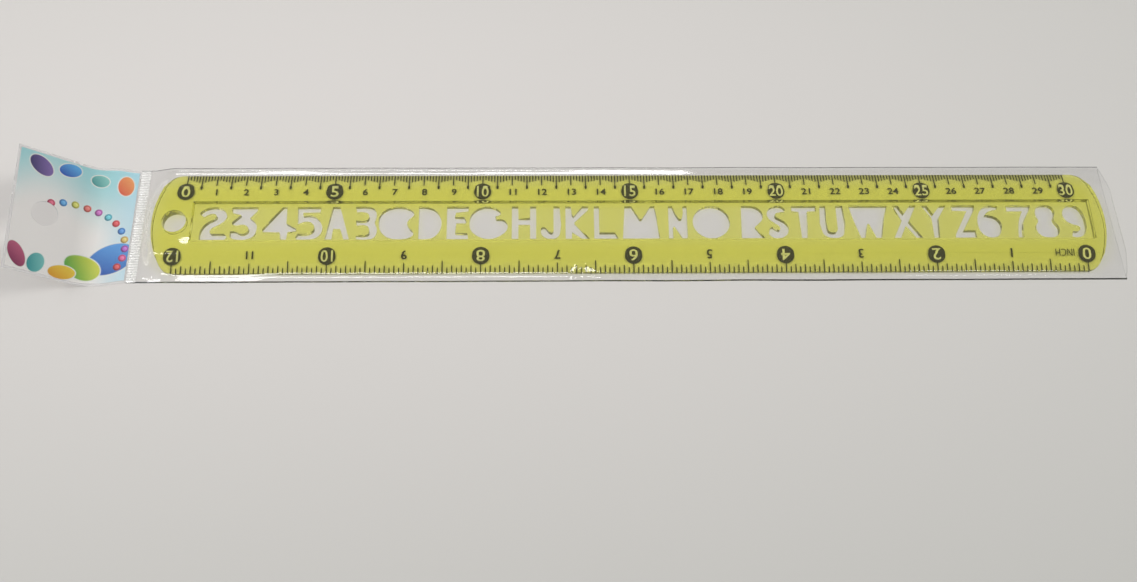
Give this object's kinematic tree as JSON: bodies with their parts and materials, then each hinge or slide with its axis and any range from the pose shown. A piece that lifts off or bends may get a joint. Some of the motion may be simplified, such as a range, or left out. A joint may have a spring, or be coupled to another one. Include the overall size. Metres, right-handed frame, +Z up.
{
  "type": "flexible ruler",
  "caption": "Flexible translucent stencil ruler with centimetre and inch scales, in a clear film sleeve with a printed hanging header.",
  "frame": {"origin": "centre of the blade's length and width, on the surface the sleeve lies on", "axes": "+X along the ruler towards the sleeve's open mouth, +Y across it towards the centimetre edge, +Z up"},
  "size_m": [0.3649, 0.044, 0.0169],
  "materials": {
    "blade": "glossy translucent yellow-green soft plastic",
    "ink": "black screen print",
    "film": "clear glossy film",
    "crimp": "ribbed heat seal in clear film",
    "header_print": null
  },
  "bodies": {
    "ruler": {"blade": "blade", "centimetre_scale_print": "ink", "inch_scale_print": "ink"},
    "sleeve": {"sleeve_top_panel": "film", "sleeve_front_side_panel": "film", "sleeve_rear_side_panel": "film", "sleeve_end_panel": "film", "sleeve_back_film": "film", "crimp_seal": "crimp"},
    "header": {"header_front_film": "film", "header_print": "header_print", "header_back_film": "film"}
  },
  "joints": [
    {"name": "sleeve_slide", "type": "slide", "parent": "ruler", "child": "sleeve", "axis": [-1, 0, 0], "range_m": [0, 0.33]},
    {"name": "header_fold", "type": "hinge", "parent": "sleeve", "child": "header", "pos_m": [-0.16695, 0, 0.00035], "axis": [0, 1, 0], "range_deg": [0, 145]}
  ]
}
